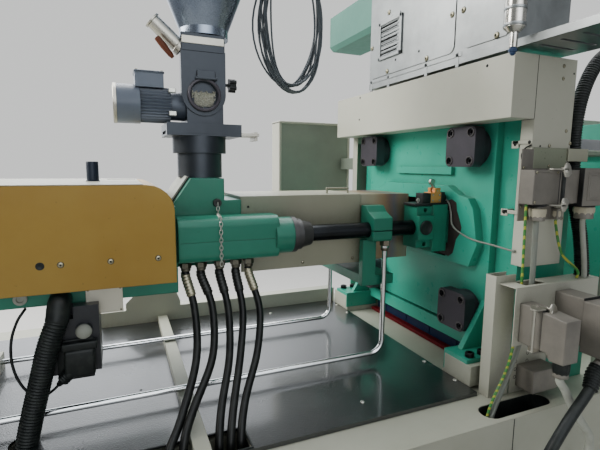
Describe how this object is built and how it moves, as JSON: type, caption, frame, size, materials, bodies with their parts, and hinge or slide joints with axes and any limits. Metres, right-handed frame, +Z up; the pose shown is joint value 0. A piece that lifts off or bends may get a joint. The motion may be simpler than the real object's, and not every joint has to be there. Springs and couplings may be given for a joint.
{
  "type": "injection moulding machine",
  "caption": "Horizontal injection moulding machine: hydraulic clamp on four tie bars, screw injection unit on guide rods, hopper, guards and console.",
  "frame": {"origin": "floor level, under the middle of the machine's bounding box", "axes": "+X along the machine from the injection unit to the clamp, +Y to the operator's side, +Z up"},
  "size_m": [4.92, 1.742, 2.28],
  "materials": {
    "enamel_green": "gloss enamel on cast iron",
    "cast_green": "gloss enamel, brushed on",
    "cream_sheet": "satin powder coat",
    "bed_grey": "satin enamel",
    "tray_black": "gloss hammered paint",
    "cover_yellow": "satin powder coat",
    "black_oxide": "blackened, oiled",
    "hard_chrome": "polished",
    "steel": "machined",
    "stainless": "brushed",
    "tinted_steel": "heat tinted",
    "aluminium": "brushed",
    "cast_aluminium": "die cast, matt",
    "brass": "machined",
    "grey_paint": "hammered paint",
    "robot_green": "satin powder coat",
    "black_plastic": "fine grain",
    "grey_plastic": "satin",
    "red_plastic": "gloss",
    "rubber_black": "smooth",
    "cable_grey": "satin",
    "ceramic_band": "heat stained sheet"
  },
  "bodies": {
    "machine": {"bed_frame": "bed_grey", "side_panels": "enamel_green", "drip_tray": "tray_black", "levelling_feet": "black_oxide", "pump_motor": "grey_paint", "fixed_platen": "enamel_green", "tie_bars": "hard_chrome", "tie_bar_caps": "black_oxide", "cap_screws": "black_oxide", "rear_platen": "enamel_green", "clamp_cylinder": "enamel_green", "portal_beam": "cream_sheet", "portal_columns": "cream_sheet", "cable_duct": "cream_sheet", "rod_yokes": "cast_green", "guide_rods": "black_oxide", "rod_support": "cast_green", "oil_pipes": "hard_chrome", "limit_switch": "brass", "far_trough": "cream_sheet", "clamp_guards": "cream_sheet", "console": "grey_paint", "console_front": "grey_plastic", "handling_base": "aluminium", "handling_housing": "aluminium", "handling_drive": "robot_green", "air_filter": "aluminium", "connector_bases": "cast_aluminium", "connector_hoods": "cast_aluminium", "machine_cables": "cable_grey"},
    "carriage": {"injection_casting": "cast_green", "cylinder_caps": "black_oxide", "barrel": "steel", "heater_bands": "ceramic_band", "barrel_cover": "stainless", "nozzle_guard": "tinted_steel", "nozzle": "steel", "hopper_neck": "grey_paint", "dosing_housing": "black_oxide", "dosing_motor": "grey_paint", "funnel": "stainless", "yellow_cover": "cover_yellow", "injection_housing": "cast_green", "hydraulic_hoses": "rubber_black", "valve_block": "black_oxide", "cable_hank": "rubber_black"},
    "ram": {"injection_ram": "grey_paint"},
    "screw": {"feed_screw": "steel"},
    "moving_platen": {"moving_platen": "enamel_green", "clamp_piston": "hard_chrome"},
    "ejector": {"ejector_plate": "steel"},
    "front_door": {"front_door": "cream_sheet"},
    "rear_door": {"rear_door": "cream_sheet"},
    "shut_off": {"shut_off_slide": "stainless"},
    "knob": {"star_knob": "black_plastic"},
    "dosing_screw": {"dosing_screw": "stainless"},
    "upper_lever": {"upper_lever": "stainless"},
    "lower_lever": {"lower_lever": "stainless"},
    "switch_lever": {"switch_lever": "steel"},
    "stop_button": {"stop_button": "red_plastic"}
  },
  "joints": [
    {"name": "carriage_slide", "type": "slide", "parent": "machine", "child": "carriage", "axis": [1, 0, 0], "range_m": [-0.2, 0.03], "deforming": ["hydraulic_hoses"]},
    {"name": "ram_slide", "type": "slide", "parent": "carriage", "child": "ram", "axis": [1, 0, 0], "range_m": [-0.16, 0]},
    {"name": "screw_turn", "type": "hinge", "parent": "ram", "child": "screw", "pos_m": [-1.44, 0.029, 1.27], "axis": [1, 0, 0], "continuous": true},
    {"name": "clamp_slide", "type": "slide", "parent": "machine", "child": "moving_platen", "axis": [1, 0, 0], "range_m": [-0.5, 0]},
    {"name": "ejector_slide", "type": "slide", "parent": "moving_platen", "child": "ejector", "axis": [1, 0, 0], "range_m": [-0.09, 0]},
    {"name": "front_door_slide", "type": "slide", "parent": "machine", "child": "front_door", "axis": [1, 0, 0], "range_m": [0, 0.88]},
    {"name": "rear_door_slide", "type": "slide", "parent": "machine", "child": "rear_door", "axis": [1, 0, 0], "range_m": [0, 0.88]},
    {"name": "shut_off_slide", "type": "slide", "parent": "carriage", "child": "shut_off", "axis": [1, 0, 0], "range_m": [0, 0.07]},
    {"name": "knob_turn", "type": "hinge", "parent": "carriage", "child": "knob", "pos_m": [-1.04, -0.021, 1.74], "axis": [1, 0, 0], "continuous": true},
    {"name": "dosing_turn", "type": "hinge", "parent": "carriage", "child": "dosing_screw", "pos_m": [-1.14, 0.021, 1.67], "axis": [1, 0, 0], "continuous": true},
    {"name": "upper_lever_hinge", "type": "hinge", "parent": "machine", "child": "upper_lever", "pos_m": [-0.22, -0.542, 1.43], "axis": [0, 0, 1], "range_deg": [-80, 0]},
    {"name": "lower_lever_hinge", "type": "hinge", "parent": "machine", "child": "lower_lever", "pos_m": [-0.322, -0.611, 1.04], "axis": [0, 0, 1], "range_deg": [-60, 0]},
    {"name": "switch_lever_hinge", "type": "hinge", "parent": "machine", "child": "switch_lever", "pos_m": [-0.324, -0.156, 1.402], "axis": [0, 1, 0], "range_deg": [-20, 20], "stiffness_Nm_per_rad": 0.2},
    {"name": "stop_button_press", "type": "slide", "parent": "machine", "child": "stop_button", "axis": [0, -1, 0], "range_m": [0, 0.004], "stiffness_N_per_m": 900}
  ]
}
